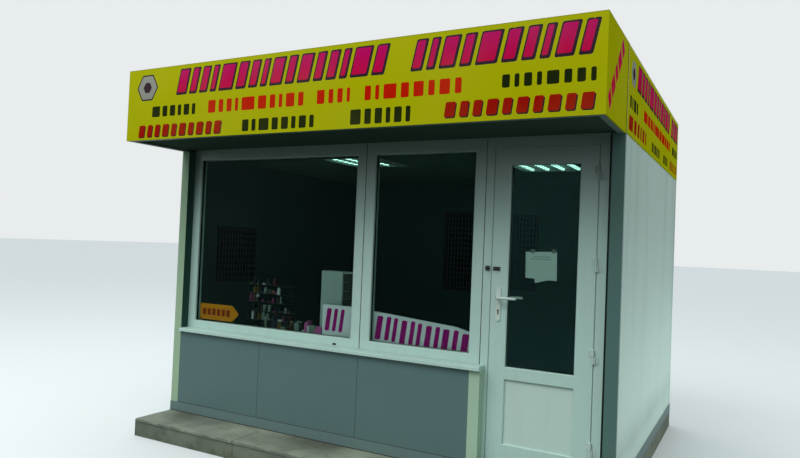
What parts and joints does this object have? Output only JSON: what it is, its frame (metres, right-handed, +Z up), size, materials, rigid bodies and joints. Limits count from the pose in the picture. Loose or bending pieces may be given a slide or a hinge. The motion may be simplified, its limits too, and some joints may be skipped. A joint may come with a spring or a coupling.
{
  "type": "street kiosk",
  "caption": "Street kiosk of panel walls with shop windows, a glazed door that opens, a flat roof and a deep sign canopy.",
  "frame": {"origin": "middle of the footprint of the whole kiosk, on the underside of the plinth", "axes": "+Z up, -Y towards the front with the windows and the door, +X towards the door's side"},
  "size_m": [4.01, 3.68, 3.16],
  "materials": {
    "concrete": "rough cast concrete",
    "base_steel": "grey paint on steel",
    "floor": "floor covering on plywood",
    "white_panel": "white coated steel skin of a sandwich panel",
    "grey_panel": "grey-blue coated steel skin of a sandwich panel",
    "cream_trim": "cream coated folded sheet",
    "dark_trim": "dark grey coated folded sheet",
    "grey_trim": "grey coated folded sheet",
    "frame_steel": "grey primer on steel tube",
    "dark_steel": "dark paint on steel tube",
    "white_plastic": "white plastic window profile",
    "door_panel_white": "white plastic faced panel",
    "clear_glass": "double glazing",
    "threshold_metal": "satin",
    "hinge_metal": "light grey paint",
    "handle_white": "white powder coat",
    "lock_brass": "satin",
    "black_steel": "black paint, worn",
    "roof_steel": "light grey paint on steel tube",
    "soffit_board": "dark grey coated sheet",
    "ceiling_board": "pale board",
    "roof_sheet": "light grey coated steel sheet",
    "yellow_board": "yellow film on board",
    "capping_metal": "light coated folded sheet",
    "lamp_white": "white enamel and lit tubes"
  },
  "bodies": {
    "kiosk": {"plinth": "concrete", "base_frame": "base_steel", "floor_deck": "floor", "left_wall_front": "white_panel", "left_wall_middle": "white_panel", "left_wall_rear": "white_panel", "right_wall_front": "white_panel", "right_wall_middle": "white_panel", "right_wall_rear": "white_panel", "back_wall_first": "white_panel", "back_wall_second": "white_panel", "back_wall_third": "white_panel", "back_wall_fourth": "white_panel", "parapet_left": "grey_panel", "parapet_middle": "grey_panel", "parapet_right": "grey_panel", "parapet_end_trim": "cream_trim", "parapet_frame": "frame_steel", "window_sill": "white_plastic", "window_ledge": "white_plastic", "ledge_brackets": "frame_steel", "left_corner_trim": "cream_trim", "left_reveal_trim": "dark_trim", "right_corner_trim": "grey_trim", "back_corner_trims": "white_panel", "front_frame": "dark_steel", "window_frame_left": "white_plastic", "window_frame_right": "white_plastic", "window_glass_left": "clear_glass", "window_glass_right": "clear_glass", "door_frame": "white_plastic", "door_threshold": "threshold_metal", "frame_hinges": "hinge_metal", "frame_staple": "black_steel", "canopy_frame": "roof_steel", "canopy_soffit": "soffit_board", "ceiling": "ceiling_board", "roof_bearers": "roof_steel", "roof_panels": "roof_sheet", "fascia_frame": "roof_steel", "fascia_front": "yellow_board", "fascia_left": "yellow_board", "fascia_right": "yellow_board", "fascia_capping": "capping_metal", "ceiling_lamps": "lamp_white"},
    "door": {"door_leaf": "white_plastic", "door_glass": "clear_glass", "door_panel": "door_panel_white", "leaf_hinges": "hinge_metal", "handle_plates": "handle_white", "lock_cylinder": "lock_brass", "hasp_staple": "black_steel"},
    "lever": {"door_lever": "handle_white"}
  },
  "joints": [
    {"name": "door_swing", "type": "hinge", "parent": "kiosk", "child": "door", "pos_m": [1.824, -1.131, 0.45], "axis": [0, 0, 1], "range_deg": [0, 100]},
    {"name": "lever_turn", "type": "hinge", "parent": "door", "child": "lever", "pos_m": [1.142, -1.12, 1.418], "axis": [0, 1, 0], "range_deg": [0, 40], "stiffness_Nm_per_rad": 2, "springref_deg": -22.92}
  ]
}
